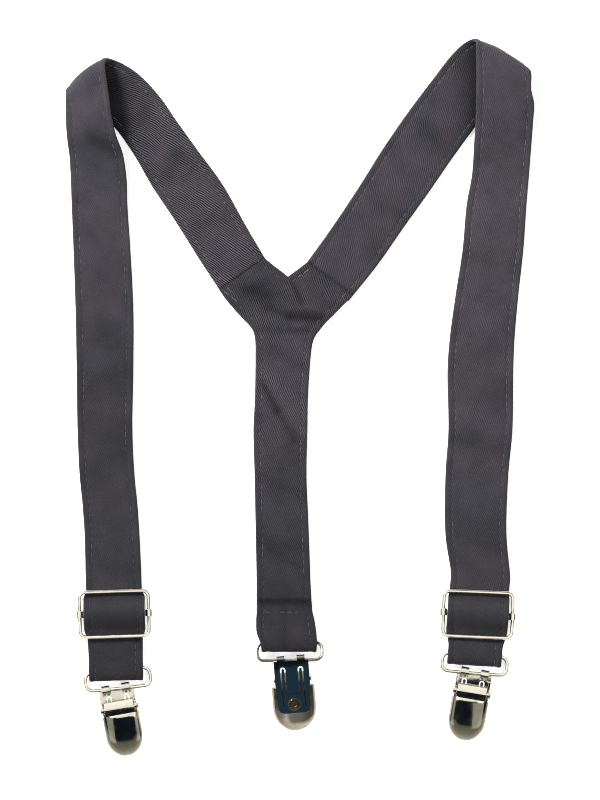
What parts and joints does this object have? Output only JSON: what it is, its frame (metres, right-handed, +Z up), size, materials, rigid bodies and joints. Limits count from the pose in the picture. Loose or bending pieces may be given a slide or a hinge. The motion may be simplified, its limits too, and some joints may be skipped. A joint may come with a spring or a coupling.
{
  "type": "suspenders",
  "caption": "Child's Y-back suspenders: twill straps with wire slide adjusters, rings and hinged metal spring clips at the ends.",
  "frame": {"origin": "bottom centre of the whole assembly as it lies on a table", "axes": "+X to the right across the straps, +Y from the clips to the shoulder folds, +Z up off the table, out of the front faces of the front straps"},
  "size_m": [0.2064, 0.3164, 0.012],
  "materials": {
    "strap_twill": "dark grey cotton twill, matt",
    "nickel": "polished nickel plate",
    "jaw_plastic": "moulded, ribbed",
    "brass": "plain eyelet"
  },
  "bodies": {
    "straps": {"yoke_back_strap": "strap_twill", "back_strap_end": "strap_twill", "left_back_run": "strap_twill", "right_back_run": "strap_twill", "left_shoulder_fold": "strap_twill", "right_shoulder_fold": "strap_twill", "left_front_run": "strap_twill", "right_front_run": "strap_twill"},
    "left_crossbar": {"left_adjuster_crossbar": "nickel", "left_adjuster_pass": "strap_twill", "left_end_loop": "strap_twill"},
    "left_frame": {"left_adjuster_frame": "nickel"},
    "left_loop": {"left_ring_loop": "strap_twill"},
    "left_ring": {"left_ring": "nickel"},
    "left_clip": {"left_clip_base": "nickel", "left_clip_pin": "nickel", "left_jaw_insert": "jaw_plastic", "left_clip_rivet": "brass"},
    "left_cover": {"left_clip_cover": "nickel"},
    "right_crossbar": {"right_adjuster_crossbar": "nickel", "right_adjuster_pass": "strap_twill", "right_end_loop": "strap_twill"},
    "right_frame": {"right_adjuster_frame": "nickel"},
    "right_loop": {"right_ring_loop": "strap_twill"},
    "right_ring": {"right_ring": "nickel"},
    "right_clip": {"right_clip_base": "nickel", "right_clip_pin": "nickel", "right_jaw_insert": "jaw_plastic", "right_clip_rivet": "brass"},
    "right_cover": {"right_clip_cover": "nickel"},
    "back_ring": {"back_ring": "nickel"},
    "back_clip": {"back_clip_base": "nickel", "back_clip_pin": "nickel", "back_jaw_insert": "jaw_plastic", "back_clip_rivet": "brass"},
    "back_cover": {"back_clip_cover": "nickel"}
  },
  "joints": [
    {"name": "left_adjuster_slide", "type": "slide", "parent": "straps", "child": "left_crossbar", "axis": [-0.03, 0.9995, 0], "range_m": [0, 0.08], "deforming": ["left_front_run"]},
    {"name": "left_frame_float", "type": "slide", "parent": "left_crossbar", "child": "left_frame", "axis": [-0.0313, 0.9959, -0.0854], "range_m": [-0.0008, 0.0008]},
    {"name": "left_loop_follow", "type": "slide", "parent": "left_crossbar", "child": "left_loop", "axis": [-0.03, 0.9995, 0], "range_m": [-0.04, 0]},
    {"name": "left_ring_swivel", "type": "hinge", "parent": "left_loop", "child": "left_ring", "pos_m": [-0.08029, -0.11969, 0.0024], "axis": [-0.9945, -0.1045, 0], "range_deg": [-45, 45]},
    {"name": "left_clip_swing", "type": "hinge", "parent": "left_ring", "child": "left_clip", "pos_m": [-0.07944, -0.12782, 0.00305], "axis": [-0.9945, -0.1045, 0], "range_deg": [-45, 45]},
    {"name": "left_cover_open", "type": "hinge", "parent": "left_clip", "child": "left_cover", "pos_m": [-0.07918, -0.13641, 0.00565], "axis": [-0.9836, -0.1805, 0], "range_deg": [0, 100]},
    {"name": "right_adjuster_slide", "type": "slide", "parent": "straps", "child": "right_crossbar", "axis": [0.03, 0.9995, 0], "range_m": [0, 0.08], "deforming": ["right_front_run"]},
    {"name": "right_frame_float", "type": "slide", "parent": "right_crossbar", "child": "right_frame", "axis": [0.0417, 0.9955, -0.0854], "range_m": [-0.0008, 0.0008]},
    {"name": "right_loop_follow", "type": "slide", "parent": "right_crossbar", "child": "right_loop", "axis": [0.03, 0.9995, 0], "range_m": [-0.04, 0]},
    {"name": "right_ring_swivel", "type": "hinge", "parent": "right_loop", "child": "right_ring", "pos_m": [0.07721, -0.11298, 0.0024], "axis": [-0.9965, 0.0837, 0], "range_deg": [-45, 45]},
    {"name": "right_clip_swing", "type": "hinge", "parent": "right_ring", "child": "right_clip", "pos_m": [0.07653, -0.12113, 0.00305], "axis": [-0.9965, 0.0837, 0], "range_deg": [-45, 45]},
    {"name": "right_cover_open", "type": "hinge", "parent": "right_clip", "child": "right_cover", "pos_m": [0.07547, -0.12964, 0.00565], "axis": [-0.9857, 0.1685, 0], "range_deg": [0, 100]},
    {"name": "back_ring_swivel", "type": "hinge", "parent": "straps", "child": "back_ring", "pos_m": [-0.00448, -0.10751, 0.00345], "axis": [-0.9998, -0.0209, 0], "range_deg": [-45, 45]},
    {"name": "back_clip_swing", "type": "hinge", "parent": "back_ring", "child": "back_clip", "pos_m": [-0.00432, -0.11532, 0.00595], "axis": [-0.9998, -0.0209, 0], "range_deg": [-45, 45]},
    {"name": "back_cover_open", "type": "hinge", "parent": "back_clip", "child": "back_cover", "pos_m": [-0.00321, -0.12389, 0.00335], "axis": [0.9966, 0.0819, 0], "range_deg": [0, 100]}
  ],
  "couplings": [
    {"joint": "left_loop_follow", "follows": "left_adjuster_slide", "ratio": -0.5},
    {"joint": "right_loop_follow", "follows": "right_adjuster_slide", "ratio": -0.5}
  ]
}
